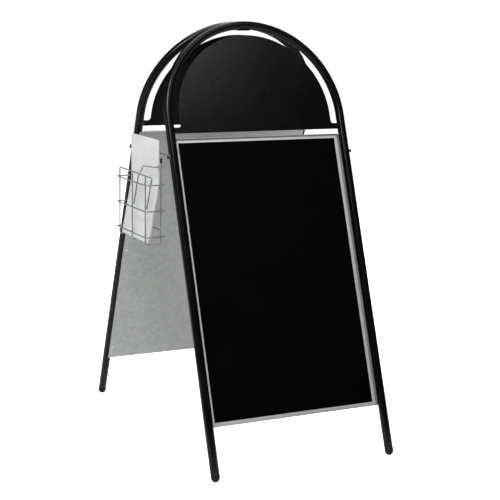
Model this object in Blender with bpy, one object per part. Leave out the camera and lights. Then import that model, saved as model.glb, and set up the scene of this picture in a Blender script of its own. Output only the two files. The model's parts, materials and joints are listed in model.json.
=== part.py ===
"""A double-sided pavement board: two bent-tube hoops hinged where their arches touch, each with a
header plate and a poster panel, and a wire brochure holder hanging on the two left legs.

Metres, +Z up. The front panel faces -Y. The origin is on the ground under the middle of the
whole object's box. Each hoop is drawn flat, standing on the XZ plane with its panel facing -Y,
and a tilted parent empty leans it against the other one.
"""

from math import cos, pi, radians, sin, sqrt, tan

import bmesh
import bpy
from mathutils import Quaternion, Vector

# Hoop frame, measured in its own plane
TUBE_HALF = 0.275          # from the middle of the hoop to the tube's centre line
TUBE_R = 0.0125
TUBE_WALL = 0.0015
TUBE_SIDES = 20
ARCH_STEPS = 24
LEG = 1.010                # from the ground to the centre of the arch, up the slope
TILT = radians(20.0)       # each hoop leans this far from upright
GAP = 0.0003               # between pieces that touch
HOOP = LEG + TUBE_HALF     # from the ground to the tube's centre at the top of the arch

# Panel
PANEL_BOTTOM = 0.146
PANEL_TOP = 0.954
SHEET_T = 0.0010
LIP_DEPTH = 0.0080
LIP_HALF = 0.2612
BORDER_HALF = 0.2612       # half width of the cover and its border
BORDER = 0.0100            # width of the magnetic strip
BORDER_T = 0.0008
POSTER_T = 0.0004
COVER_T = 0.0005

# Header plate
HEADER_BOTTOM = 0.9675
HEADER_TAB = 0.0175
HEADER_R = 0.2413
HEADER_RISE = 0.0033       # its arc's centre is this far above the tube's
HEADER_T = 0.0020
SLOT_FILLET = 0.0080
HEADER_ARC_STEPS = 40

# Fastenings
RIVET_R = 0.0020
RIVET_HEAD_R = 0.0040
RIVET_HEAD_T = 0.0012
RIVET_U = 0.2655
RIVET_END = 0.0035         # its shank ends this far behind the tubes' plane
RIVET_LEVELS = (0.185, 0.550, 0.915)
BOLT_V = 0.900
BOLT_R = 0.0026
BOLT_NECK_R = 0.0030
BOLT_NECK = 0.0046
BOLT_HEAD_R = 0.0050
BOLT_HEAD_T = 0.0022
BOLT_TIP = 0.0030          # past the inner end of its nut
NUT_R = 0.0042
NUT_LENGTH = 0.0090
NUT_SINK = 0.0004          # its rim lies this far below the tube's surface
HOLE_START = 0.0010        # the nut's hole is cut from this far outside the tube

# Foot plug
FOOT_FLAT = 0.0007         # the dome is cut this far above its lowest point
FOOT_SIDE = 0.0100         # straight part of the plug below the tube's end
STEM = 0.0250

# Hinge under the two arches
PIN_R = 0.0025
PIN_PLAY = 0.0001
PIN_REACH = 0.0175         # from a tube's centre line to the pin's
PIN_HEAD = 0.0015
PIN_TAIL = 0.0010          # past the last knuckle
KNUCKLE_R = 0.0043
HINGE_HALF = 0.0160
KNUCKLE_SPLIT = 0.0055
SADDLE_T = 0.0020
SADDLE_ARC = radians(75.0)
PIN_SIDES = 24
STEP = 0.0005              # a knuckle stands this far past its leaf's plate

# Brochure holder, as distances outwards from the board's middle, and heights
WIRE_R = 0.0020
WIRE_STEP = 2 * WIRE_R + GAP   # between the centres of two wires that touch
BASKET_OUT = 0.3466            # centre of the rails' outer runs
BASKET_HALF = 0.1137           # centre of the rails' arms
RAIL_END = 0.2885          # clear of the tubes
RAIL_TOP = 0.7650
RAIL_PITCH = 0.0742
BACK = 0.2985              # centre of the back uprights, clear of the bolts' heads
BACK_HALF = BASKET_HALF - WIRE_STEP
UPRIGHT_HALF = 0.1010
FLOOR_Z = 0.5950
TOP_RAIL_Z = 0.7920
LOOP_RISE = 0.0240
LOOP_Y = -0.0570           # where the top rail starts to rise
LOOP_RUN = 0.0150          # along Y while it rises
LOOP_IN = 0.0240           # its last bend, outwards of the back uprights
FRONT_UPRIGHT_TOP = 0.7900
BEND = 0.0060
SLEEVE_R = 0.0036
SLEEVE_LENGTH = 0.0130
CROSS_DROP = 0.0100        # the upper cross wire, below the top rail of the three
CROSS_LOW = 0.0400         # the lower cross wire, above the floor
RETAINER_FOOT = 0.0060     # above the middle rail
RETAINER_RISE = 0.0870
RETAINER_LEAN = 0.0155     # towards the leaflets over that rise
BAR_OVERHANG = 0.0090      # the bar's ends, past the bolts they rest on
LEAFLET_W = 0.210
LEAFLET_L = 0.297
LEAFLET_T = 0.0040
LEAFLET_LEAN = 0.0300      # its foot stands this far out from its upright part
KNEE_Z = 0.7583            # where it bends upright

# Worked out from the sizes above
APEX_Y = TUBE_R + GAP / 2
APEX_Z = HOOP * cos(TILT)
PIN_Z = APEX_Z - sqrt(PIN_REACH ** 2 - APEX_Y ** 2)
FOOT_Y = APEX_Y + HOOP * sin(TILT)
DOME_V = (TUBE_R - FOOT_FLAT) / cos(TILT)
TUBE_END = DOME_V + FOOT_SIDE
BOLT_PROUD = BOLT_NECK + BOLT_HEAD_T
BOLT_Y = APEX_Y + (HOOP - BOLT_V) * sin(TILT)
BOLT_Z = BOLT_V * cos(TILT)
BAR_Z = BOLT_Z + BOLT_NECK_R + GAP + WIRE_R
BAR_X = TUBE_HALF + TUBE_R + BOLT_NECK / 2
RIGHT_REACH = TUBE_HALF + TUBE_R + BOLT_PROUD
LEFT_REACH = BASKET_OUT + WIRE_R
BOARD_X = (LEFT_REACH - RIGHT_REACH) / 2
UPRIGHT_OUT = BASKET_OUT - WIRE_STEP
SHEET_FACE = TUBE_R + GAP      # the sheet's outer face, as a distance behind the tubes' plane


# ---------------------------------------------------------------- helpers

def clear_scene():
    for ob in list(bpy.data.objects):
        bpy.data.objects.remove(ob)


def material(name, colour, roughness, metallic=0.0, alpha=1.0):
    mat = bpy.data.materials.new(name)
    mat.use_nodes = True
    shader = mat.node_tree.nodes["Principled BSDF"]
    shader.inputs["Base Color"].default_value = (*colour, 1.0)
    shader.inputs["Roughness"].default_value = roughness
    shader.inputs["Metallic"].default_value = metallic
    shader.inputs["Alpha"].default_value = alpha
    return mat


def place(ob, mat, parent, location=(0, 0, 0), rotation=(0, 0, 0)):
    bpy.context.scene.collection.objects.link(ob)
    ob.location = location
    ob.rotation_euler = rotation
    ob.parent = parent
    if mat:
        ob.data.materials.append(mat)
    return ob


def finished(bm, name, mat, parent, location=(0, 0, 0), rotation=(0, 0, 0), smooth=False):
    bmesh.ops.recalc_face_normals(bm, faces=bm.faces)
    mesh = bpy.data.meshes.new(name)
    bm.to_mesh(mesh)
    bm.free()
    if smooth:
        mesh.shade_smooth()
        mesh.set_sharp_from_angle(angle=radians(40))
    return place(bpy.data.objects.new(name, mesh), mat, parent, location, rotation)


def empty(name, parent=None, location=(0, 0, 0), rotation=(0, 0, 0)):
    return place(bpy.data.objects.new(name, None), None, parent, location, rotation)


def prism(outline, start, thickness):
    """The outline's (x, z) points as a flat plate from y = start to y = start + thickness."""
    bm = bmesh.new()
    face = bm.faces.new([bm.verts.new((x, start, z)) for x, z in outline])
    made = bmesh.ops.extrude_face_region(bm, geom=[face])["geom"]
    verts = [g for g in made if isinstance(g, bmesh.types.BMVert)]
    bmesh.ops.translate(bm, verts=verts, vec=(0, thickness, 0))
    return bm


def rectangle(half, low, high):
    return [(-half, low), (half, low), (half, high), (-half, high)]


def turned(profile, sides, closed=False):
    """The (radius, z) profile spun about Z."""
    bm = bmesh.new()
    verts = [bm.verts.new((r, 0, z)) for r, z in profile]
    ends = verts[1:] + verts[:1] if closed else verts[1:]
    edges = [bm.edges.new(pair) for pair in zip(verts, ends)]
    bmesh.ops.spin(bm, geom=verts + edges, cent=(0, 0, 0), axis=(0, 0, 1), angle=2 * pi,
                   steps=sides, use_merge=True)
    bmesh.ops.remove_doubles(bm, verts=bm.verts, dist=1e-6)
    return bm


def cutter(bm, name, parent, location=(0, 0, 0), rotation=(0, 0, 0)):
    ob = finished(bm, name, None, parent, location, rotation)
    ob.hide_render = True
    ob.display_type = "WIRE"
    return ob


def boolean(target, tool, operation="DIFFERENCE"):
    mod = target.modifiers.new(tool.name, "BOOLEAN")
    mod.operation = operation
    mod.object = tool


def rod(radius, length, sides):
    return turned([(0, 0), (radius, 0), (radius, length), (0, length)], sides)


def rounded(corners, radius, steps=4):
    """The path through the corners, with an arc of the given radius at each inner one."""
    points = [Vector(corners[0])]
    for before, corner, after in zip(corners, corners[1:], corners[2:]):
        corner = Vector(corner)
        back = (Vector(before) - corner).normalized()
        on = (Vector(after) - corner).normalized()
        half = back.angle(on) / 2
        reach = radius / tan(half)
        centre = corner + (back + on).normalized() * (radius / sin(half))
        start = corner + back * reach - centre
        turn = start.rotation_difference(corner + on * reach - centre)
        axis, angle = turn.to_axis_angle()
        for step in range(steps + 1):
            spoke = start.copy()
            spoke.rotate(Quaternion(axis, angle * step / steps))
            points.append(centre + spoke)
    points.append(Vector(corners[-1]))
    return points


def wire(name, points, mat, parent):
    curve = bpy.data.curves.new(name, "CURVE")
    curve.dimensions = "3D"
    curve.bevel_depth = WIRE_R
    curve.bevel_resolution = 2
    curve.use_fill_caps = True
    spline = curve.splines.new("POLY")
    spline.points.add(len(points) - 1)
    for target, point in zip(spline.points, points):
        target.co = (*point, 1)
    return place(bpy.data.objects.new(name, curve), mat, parent)


# ---------------------------------------------------------------- hoop frame

def hoop_sweep(outer, inner, start):
    """A pipe along the hoop: up one leg from start, round the arch and down the other leg."""
    bm = bmesh.new()
    for radius in (outer, inner):
        bmesh.ops.create_circle(bm, radius=radius, segments=TUBE_SIDES)
    bmesh.ops.bridge_loops(bm, edges=bm.edges)
    bmesh.ops.translate(bm, verts=bm.verts, vec=(-TUBE_HALF, 0, start))
    end = extruded(bm, bm.faces[:], (0, 0, LEG - start))
    end = bmesh.ops.spin(bm, geom=end, cent=(0, 0, LEG), axis=(0, 1, 0), angle=pi,
                         steps=ARCH_STEPS)["geom_last"]
    extruded(bm, [g for g in end if isinstance(g, bmesh.types.BMFace)], (0, 0, start - LEG))
    bmesh.ops.remove_doubles(bm, verts=bm.verts, dist=1e-6)
    seams = [f for f in bm.faces if all(abs(v.co.z - LEG) < 1e-5 for v in f.verts)]
    bmesh.ops.delete(bm, geom=seams, context="FACES_ONLY")
    return bm


def extruded(bm, faces, move):
    made = bmesh.ops.extrude_face_region(bm, geom=faces)["geom"]
    bmesh.ops.translate(bm, verts=[g for g in made if isinstance(g, bmesh.types.BMVert)], vec=move)
    return [g for g in made if isinstance(g, bmesh.types.BMFace)]


def make_tube(side, frame, holes):
    bm = hoop_sweep(TUBE_R, TUBE_R - TUBE_WALL, TUBE_END)
    tube = finished(bm, side + "_tube", PAINT, frame, smooth=True)
    for hole in holes:
        boolean(tube, hole)


def make_sheet(side, frame, holes):
    bm = prism(rectangle(TUBE_HALF, PANEL_BOTTOM, PANEL_TOP), SHEET_FACE, SHEET_T)
    sheet = finished(bm, side + "_sheet", GALVANISED, frame)
    for name, low in (("top", PANEL_TOP - SHEET_T), ("bottom", PANEL_BOTTOM)):
        lip = prism(rectangle(LIP_HALF, low, low + SHEET_T), SHEET_FACE - LIP_DEPTH,
                    LIP_DEPTH + SHEET_T / 2)
        boolean(sheet, cutter(lip, f"{side}_{name}_lip", frame), "UNION")
    for hole in holes:
        boolean(sheet, hole)


def rivet_places():
    """(x, z) of the rivets on a hoop, and the number in each one's name."""
    spots = [(x, z) for x in (-RIVET_U, RIVET_U) for z in RIVET_LEVELS]
    return list(enumerate(spots, start=1))


def make_rivet_holes(side, frame):
    """One hole for each rivet, through the sheet and into the tube but not out of its far side."""
    holes = []
    for number, (x, z) in rivet_places():
        hole = rod(RIVET_R + GAP, SHEET_FACE + 2 * SHEET_T, 12)
        holes.append(cutter(hole, f"{side}_rivet_hole_{number}", frame, (x, 0, z),
                            (-pi / 2, 0, 0)))
    return holes


def make_rivets(side, frame):
    head = SHEET_FACE + SHEET_T + GAP
    profile = [(0, RIVET_END), (RIVET_R, RIVET_END), (RIVET_R, head), (RIVET_HEAD_R, head),
               (0.8 * RIVET_HEAD_R, head + 0.7 * RIVET_HEAD_T), (0, head + RIVET_HEAD_T)]
    for number, (x, z) in rivet_places():
        finished(turned(profile, 12), f"{side}_rivet_{number}", ZINC, frame, (x, 0, z),
                 (-pi / 2, 0, 0), smooth=True)


def header_outline():
    half = TUBE_HALF - TUBE_R - GAP
    tab = HEADER_BOTTOM + HEADER_TAB
    right = [(half, HEADER_BOTTOM), (half, tab)]
    for step in range(5):
        angle = -pi / 2 - step * pi / 8
        right.append((HEADER_R + SLOT_FILLET * (1 + cos(angle)),
                      tab + SLOT_FILLET * (1 + sin(angle))))
    arc = [(HEADER_R * cos(a), LEG + HEADER_RISE + HEADER_R * sin(a))
           for a in (step * pi / HEADER_ARC_STEPS for step in range(HEADER_ARC_STEPS + 1))]
    left = [(-x, z) for x, z in reversed(right)]
    return right + arc + left


def make_header(side, frame):
    finished(prism(header_outline(), -HEADER_T / 2, HEADER_T), side + "_header", PAINT, frame)


def make_poster(side, frame):
    face = SHEET_FACE - GAP
    edge = BORDER + SHEET_T + 2 * GAP
    outline = rectangle(BORDER_HALF - BORDER - GAP, PANEL_BOTTOM + edge, PANEL_TOP - edge)
    finished(prism(outline, face - POSTER_T, POSTER_T), side + "_poster", POSTER, frame)


def make_cover(side, body):
    """The magnetic border strip, a flat ring, and the clear sheet over it."""
    back = SHEET_FACE - GAP
    edge = SHEET_T + GAP
    outline = rectangle(BORDER_HALF, PANEL_BOTTOM + edge, PANEL_TOP - edge)
    ring = finished(prism(outline, back - BORDER_T, BORDER_T), side + "_border", BORDER_WHITE, body)
    window = rectangle(BORDER_HALF - BORDER, PANEL_BOTTOM + edge + BORDER,
                       PANEL_TOP - edge - BORDER)
    boolean(ring, cutter(prism(window, 0, 2 * SHEET_FACE), side + "_window", body))
    front = back - BORDER_T - GAP
    finished(prism(outline, front - COVER_T, COVER_T), side + "_cover", CLEAR, body)


def make_feet(side, frame):
    """Domed plugs with a small flat that lies on the ground, and a stem inside the tube."""
    dome = TUBE_R
    profile = [(0, -dome)]
    for step in range(1, 5):
        angle = step * pi / 10
        profile.append((dome * sin(angle), -dome * cos(angle)))
    stem = TUBE_R - TUBE_WALL - GAP
    shoulder = FOOT_SIDE - GAP
    profile += [(dome, 0), (dome, shoulder), (stem, shoulder), (stem, shoulder + STEM),
                (0, shoulder + STEM)]
    for name, x in frame_sides(side):
        foot = finished(turned(profile, TUBE_SIDES), f"{side}_foot_{name}", PLUG, frame,
                        (x * TUBE_HALF, 0, DOME_V), smooth=True)
        block = prism(rectangle(2 * TUBE_R, -2 * TUBE_R, 0), -2 * TUBE_R, 4 * TUBE_R)
        ground = cutter(block, f"{side}_ground_{name}", frame,
                        (x * TUBE_HALF, 0, 0), (TILT, 0, 0))
        boolean(foot, ground)


def frame_sides(side):
    """The object's left is -X; the rear hoop is turned round, so its own left is +X."""
    turn = 1 if side == "front" else -1
    return (("left", -turn), ("right", turn))


def make_bolt_holes(side, frame):
    holes = []
    for name, x in frame_sides(side):
        hole = rod(NUT_R + GAP, NUT_LENGTH, 16)
        start = TUBE_HALF + TUBE_R + HOLE_START
        holes.append(cutter(hole, f"{side}_bolt_hole_{name}", frame, (x * start, 0, BOLT_V),
                            (0, -x * pi / 2, 0)))
    return holes


def make_bolts(side, frame):
    """A shouldered bolt in a rivet nut in each leg's outer wall; both lie along X."""
    nut = [(NUT_R, 0), (NUT_R, NUT_LENGTH), (BOLT_R + GAP, NUT_LENGTH), (BOLT_R + GAP, 0)]
    neck = -NUT_SINK - GAP
    out = -NUT_SINK - BOLT_NECK
    tip = NUT_LENGTH + BOLT_TIP
    bolt = [(0, tip), (BOLT_R, tip), (BOLT_R, neck),
            (BOLT_NECK_R, neck), (BOLT_NECK_R, out), (BOLT_HEAD_R, out),
            (BOLT_HEAD_R, out - 0.4 * BOLT_HEAD_T), (0.75 * BOLT_HEAD_R, out - 0.85 * BOLT_HEAD_T),
            (0, out - BOLT_HEAD_T)]
    for name, x in frame_sides(side):
        spot = (x * (TUBE_HALF + TUBE_R - NUT_SINK), 0, BOLT_V)
        turn = (0, -x * pi / 2, 0)
        finished(turned(nut, 16, closed=True), f"{side}_rivnut_{name}", ZINC, frame, spot, turn,
                 smooth=True)
        finished(turned(bolt, 16), f"{side}_bolt_{name}", BOLT, frame, spot, turn, smooth=True)


def make_hoop(side, frame, cover):
    rivet_holes = make_rivet_holes(side, frame)
    make_tube(side, frame, rivet_holes + make_bolt_holes(side, frame))
    make_sheet(side, frame, rivet_holes)
    make_header(side, frame)
    make_poster(side, frame)
    make_rivets(side, frame)
    make_feet(side, frame)
    make_bolts(side, frame)
    make_cover(side, cover)


# ---------------------------------------------------------------- hinge

def leaf_profile(turn):
    """(y, z) outline about the pin: a saddle plate round the tube, reaching to the pin."""
    tube = Vector((-turn * APEX_Y, APEX_Z - PIN_Z))
    to_pin = (-tube).normalized()
    drop = HINGE_HALF * tan(pi / (2 * ARCH_STEPS))
    inner = TUBE_R + GAP + drop
    outer = inner + SADDLE_T
    points = []
    for radius, steps in ((inner, range(9)), (outer, range(8, -1, -1))):
        for step in steps:
            angle = -turn * SADDLE_ARC * step / 8
            c, s = cos(angle), sin(angle)
            spoke = Vector((to_pin.x * c - to_pin.y * s, to_pin.x * s + to_pin.y * c))
            points.append(tube + spoke * radius)
    return points


def leaf_body(turn, start, end):
    bm = bmesh.new()
    face = bm.faces.new([bm.verts.new((start, p.x, p.y)) for p in leaf_profile(turn)])
    extruded(bm, [face], (end - start, 0, 0))
    return bm


def make_leaf(name, turn, spans, hinge):
    """A saddle welded under one tube, with a knuckle round the pin at each span."""
    side = HINGE_HALF - STEP
    leaf = finished(leaf_body(turn, -side, side), name, PAINT, hinge)
    for number, (start, end) in enumerate(knuckle_gaps(spans), start=1):
        room = rod(KNUCKLE_R + 2 * GAP, end - start, PIN_SIDES)
        boolean(leaf, cutter(room, f"{name}_room_{number}", hinge, (start, 0, 0),
                             (0, pi / 2, 0)))
    for number, (start, end) in enumerate(spans, start=1):
        barrel = cutter(rod(KNUCKLE_R, end - start, PIN_SIDES), f"{name}_barrel_{number}", hinge,
                        (start, 0, 0), (0, pi / 2, 0))
        boolean(leaf, barrel, "UNION")
    bore = cutter(rod(PIN_R + PIN_PLAY, 4 * HINGE_HALF, PIN_SIDES), name + "_bore", hinge,
                  (-2 * HINGE_HALF, 0, 0), (0, pi / 2, 0))
    boolean(leaf, bore)


def knuckle_gaps(spans):
    """The stretches beside a leaf's knuckles, where the other leaf's turn, and a little more."""
    edges = [-2 * HINGE_HALF] + [x for span in spans for x in span] + [2 * HINGE_HALF]
    pairs = list(zip(edges[::2], edges[1::2]))
    return [(start - STEP / 2, end + STEP / 2) for start, end in pairs]


def make_hinge(root, hinge):
    outer = [(-HINGE_HALF, -KNUCKLE_SPLIT), (KNUCKLE_SPLIT, HINGE_HALF)]
    inner = [(-KNUCKLE_SPLIT + GAP, KNUCKLE_SPLIT - GAP)]
    make_leaf("hinge_front_leaf", 1, outer, root)
    make_leaf("hinge_rear_leaf", -1, inner, hinge)
    start = -HINGE_HALF - GAP - PIN_HEAD
    tail = -start + HINGE_HALF + PIN_TAIL
    pin = [(0, 0), (1.5 * PIN_R, 0), (1.5 * PIN_R, PIN_HEAD), (PIN_R, PIN_HEAD),
           (PIN_R, tail), (0, tail)]
    finished(turned(pin, PIN_SIDES), "hinge_pin", ZINC, root, (start, 0, 0), (0, pi / 2, 0),
             smooth=True)


# ---------------------------------------------------------------- brochure holder
# The holder's points are (x, y, z) with x measured from the board's middle; it is on the left.

def left(out, y, z):
    return (-out, y, z)


def make_rails(holder):
    for number in range(3):
        z = RAIL_TOP - number * RAIL_PITCH
        corners = [left(RAIL_END, BASKET_HALF, z), left(BASKET_OUT, BASKET_HALF, z),
                   left(BASKET_OUT, -BASKET_HALF, z), left(RAIL_END, -BASKET_HALF, z)]
        wire(f"holder_rail_{number + 1}", rounded(corners, BEND), CHROME, holder)


def back_upright(y):
    """Down from the back bar, inside out: the bar's level, then the upright behind the leaflets."""
    return [left(BAR_X, y, BAR_Z - WIRE_STEP), left(BACK, y, BAR_Z - WIRE_STEP)]


def make_front_wire(holder):
    corners = back_upright(-BACK_HALF) + [
        left(BACK, -BACK_HALF, FLOOR_Z), left(UPRIGHT_OUT, -UPRIGHT_HALF, FLOOR_Z),
        left(UPRIGHT_OUT, -UPRIGHT_HALF, FRONT_UPRIGHT_TOP)]
    wire("holder_front_wire", rounded(corners, BEND), CHROME, holder)


def make_rear_wire(holder):
    """The rear wire goes on as the top rail and ends in the raised loop at the front upright."""
    top = TOP_RAIL_Z + LOOP_RISE
    corners = back_upright(BACK_HALF) + [
        left(BACK, BACK_HALF, FLOOR_Z), left(UPRIGHT_OUT, UPRIGHT_HALF, FLOOR_Z),
        left(UPRIGHT_OUT, UPRIGHT_HALF, TOP_RAIL_Z), left(UPRIGHT_OUT, LOOP_Y, TOP_RAIL_Z),
        left(UPRIGHT_OUT - WIRE_STEP, LOOP_Y - LOOP_RUN, top),
        left(BACK + LOOP_IN, -BACK_HALF, top), left(BACK + WIRE_STEP, -BACK_HALF, top)]
    wire("holder_rear_wire", rounded(corners, BEND), CHROME, holder)


def make_middle_wire(holder):
    back = BACK - WIRE_STEP
    corners = [left(back, 0, RAIL_TOP - CROSS_DROP + BEND), left(back, 0, FLOOR_Z),
               left(UPRIGHT_OUT, 0, FLOOR_Z), left(UPRIGHT_OUT, 0, TOP_RAIL_Z - WIRE_R - GAP)]
    wire("holder_middle_wire", rounded(corners, BEND), CHROME, holder)


def make_back(holder):
    """The bar that lies on the necks of the two left bolts, and two cross wires below it."""
    reach = BOLT_Y + BAR_OVERHANG
    wire("holder_bar", [left(BAR_X, reach, BAR_Z), left(BAR_X, -reach, BAR_Z)], CHROME, holder)
    half = BACK_HALF - WIRE_R - GAP
    for name, z in (("upper", RAIL_TOP - CROSS_DROP), ("lower", FLOOR_Z + CROSS_LOW)):
        wire(f"holder_cross_{name}", [left(BACK, half, z), left(BACK, -half, z)], CHROME, holder)


def make_retainer(holder):
    """A bent-in wire between the front and middle uprights, leaning towards the leaflets."""
    foot_x, foot_z = UPRIGHT_OUT - WIRE_STEP, RAIL_TOP - RAIL_PITCH + RETAINER_FOOT
    top_x, top_z = foot_x - RETAINER_LEAN, foot_z + RETAINER_RISE
    corners = [left(foot_x, 0, foot_z), left(top_x, 0, top_z),
               left(top_x, -UPRIGHT_HALF, top_z), left(foot_x, -UPRIGHT_HALF, foot_z)]
    wire("holder_retainer", rounded(corners, BEND), CHROME, holder)


def make_sleeve(holder):
    inner = WIRE_R + GAP
    profile = [(inner, 0), (SLEEVE_R, 0), (SLEEVE_R, SLEEVE_LENGTH), (inner, SLEEVE_LENGTH)]
    top = BAR_Z - WIRE_STEP - BEND - GAP
    finished(turned(profile, 16, closed=True), "holder_sleeve", RUBBER, holder,
             left(BACK, -BACK_HALF, top - SLEEVE_LENGTH), smooth=True)


def make_leaflets(body):
    """A stack standing on the basket's floor, leaning back and then upright against the back."""
    face = BACK + WIRE_R + GAP
    foot = FLOOR_Z + WIRE_R + GAP
    rest = LEAFLET_L - sqrt((KNEE_Z - foot) ** 2 + LEAFLET_LEAN ** 2)
    side = [(face + LEAFLET_LEAN, foot), (face, KNEE_Z), (face, KNEE_Z + rest)]
    outline = [(-x, z) for x, z in side] + [(-x - LEAFLET_T, z) for x, z in reversed(side)]
    finished(prism(outline, -LEAFLET_W / 2, LEAFLET_W), "leaflets", PAPER, body)


def make_holder(holder, leaflets):
    make_rails(holder)
    make_front_wire(holder)
    make_rear_wire(holder)
    make_middle_wire(holder)
    make_back(holder)
    make_retainer(holder)
    make_sleeve(holder)
    make_leaflets(leaflets)


# ---------------------------------------------------------------- assembly

clear_scene()

PAINT = material("powder_coat_black", (0.012, 0.012, 0.013), 0.32)
GALVANISED = material("galvanised_steel", (0.42, 0.44, 0.43), 0.45, 0.8)
POSTER = material("poster_black", (0.004, 0.004, 0.004), 0.5)
BORDER_WHITE = material("border_white", (0.72, 0.73, 0.72), 0.6)
CLEAR = material("clear_cover", (0.95, 0.97, 0.97), 0.08, alpha=0.15)
PLUG = material("plug_plastic", (0.010, 0.010, 0.010), 0.55)
BOLT = material("bolt_black", (0.02, 0.02, 0.02), 0.35, 0.6)
ZINC = material("zinc_plate", (0.55, 0.56, 0.55), 0.35, 0.9)
CHROME = material("chrome_wire", (0.62, 0.64, 0.65), 0.18, 1.0)
RUBBER = material("sleeve_rubber", (0.02, 0.02, 0.02), 0.7)
PAPER = material("leaflet_paper", (0.74, 0.75, 0.75), 0.6)

board = empty("board", location=(BOARD_X, 0, 0))
pin_axis = empty("pin_axis", board, (0, 0, PIN_Z))
fold = empty("fold", board, (0, 0, PIN_Z))
front_hoop = empty("front_hoop", board, (0, -FOOT_Y, 0), (-TILT, 0, 0))
rear_hoop = empty("rear_hoop", fold, (0, FOOT_Y, -PIN_Z), (-TILT, 0, pi))
front_cover_slide = empty("front_cover_slide", front_hoop)
rear_cover_slide = empty("rear_cover_slide", rear_hoop)
holder_lift = empty("holder_lift", board)
leaflet_slide = empty("leaflet_slide", holder_lift)

make_hoop("front", front_hoop, front_cover_slide)
make_hoop("rear", rear_hoop, rear_cover_slide)
make_hinge(pin_axis, fold)
make_holder(holder_lift, leaflet_slide)
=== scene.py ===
"""The looks of the double-sided pavement board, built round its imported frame.

Metres, +Z up, in the frame's own coordinates. Each hoop's pieces are drawn flat, standing on the
XZ plane with the panel facing -Y, and HOOPS holds the matrix that leans each hoop into place.
"""

import json
import random
from math import atan2, cos, pi, radians, sin, tan

import bmesh
import bpy
from mathutils import Matrix, Quaternion, Vector


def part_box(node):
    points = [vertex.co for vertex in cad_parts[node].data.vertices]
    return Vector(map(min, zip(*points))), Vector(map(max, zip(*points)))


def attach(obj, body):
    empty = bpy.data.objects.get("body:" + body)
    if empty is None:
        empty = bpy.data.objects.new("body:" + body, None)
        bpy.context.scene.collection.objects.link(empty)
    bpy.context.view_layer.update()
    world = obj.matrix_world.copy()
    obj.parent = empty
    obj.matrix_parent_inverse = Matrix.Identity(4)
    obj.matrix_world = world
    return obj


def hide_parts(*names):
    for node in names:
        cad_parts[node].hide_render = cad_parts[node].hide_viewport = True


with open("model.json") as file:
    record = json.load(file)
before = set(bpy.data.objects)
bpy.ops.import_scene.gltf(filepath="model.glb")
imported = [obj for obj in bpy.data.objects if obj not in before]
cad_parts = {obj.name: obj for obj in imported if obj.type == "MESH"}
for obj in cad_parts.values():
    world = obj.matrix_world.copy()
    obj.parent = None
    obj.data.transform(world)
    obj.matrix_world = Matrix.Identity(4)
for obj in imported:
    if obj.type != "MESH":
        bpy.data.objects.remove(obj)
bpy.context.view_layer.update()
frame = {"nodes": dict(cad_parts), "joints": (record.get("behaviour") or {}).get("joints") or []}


# ---------------------------------------------------------------- measures from the frame

JOINTS = {joint["name"]: joint for joint in frame["joints"]}
PIN = Vector(JOINTS["fold"]["pos_m"])
SLOPE = Vector(JOINTS["front_cover_pull"]["axis"])
MIDDLE = PIN.x
TILT = atan2(SLOPE.z, -SLOPE.y)
SIDES = {"front": 0.0, "rear": pi}


def box_in(node, matrix):
    """A CAD node's lowest and highest corners in the frame that the matrix takes to the row's."""
    back = matrix.inverted()
    corners = [back @ v.co for v in frame["nodes"][node].data.vertices]
    return (Vector([min(c[i] for c in corners) for i in range(3)]),
            Vector([max(c[i] for c in corners) for i in range(3)]))


def leaning(side, shift=0.0):
    """Stands a hoop's flat drawing on the ground, leaning back; shift moves it along Y."""
    return (Matrix.Translation((MIDDLE, 0, 0)) @ Matrix.Rotation(SIDES[side], 4, "Z")
            @ Matrix.Translation((0, shift, 0)) @ Matrix.Rotation(-TILT, 4, "X"))


def hoop_matrix(side):
    low, high = box_in(side + "_tube", leaning(side))
    return leaning(side, (low.y + high.y) / 2 / cos(TILT))


HOOPS = {side: hoop_matrix(side) for side in SIDES}
TUBE_LOW, TUBE_HIGH = box_in("front_tube", HOOPS["front"])
TUBE_R = TUBE_HIGH.y
TUBE_HALF = TUBE_HIGH.x - TUBE_R
HOOP = TUBE_HIGH.z - TUBE_R            # from the ground to the tube's centre at the top
LEG = HOOP - TUBE_HALF                 # from the ground to the centre of the arch
HEADER_LOW, HEADER_HIGH = box_in("front_header", HOOPS["front"])
HEADER_TAB = 0.0175
HEADER_RISE = 0.0033
SLOT_FILLET = 0.0080
BORDER = 0.0100


# ---------------------------------------------------------------- materials

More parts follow.
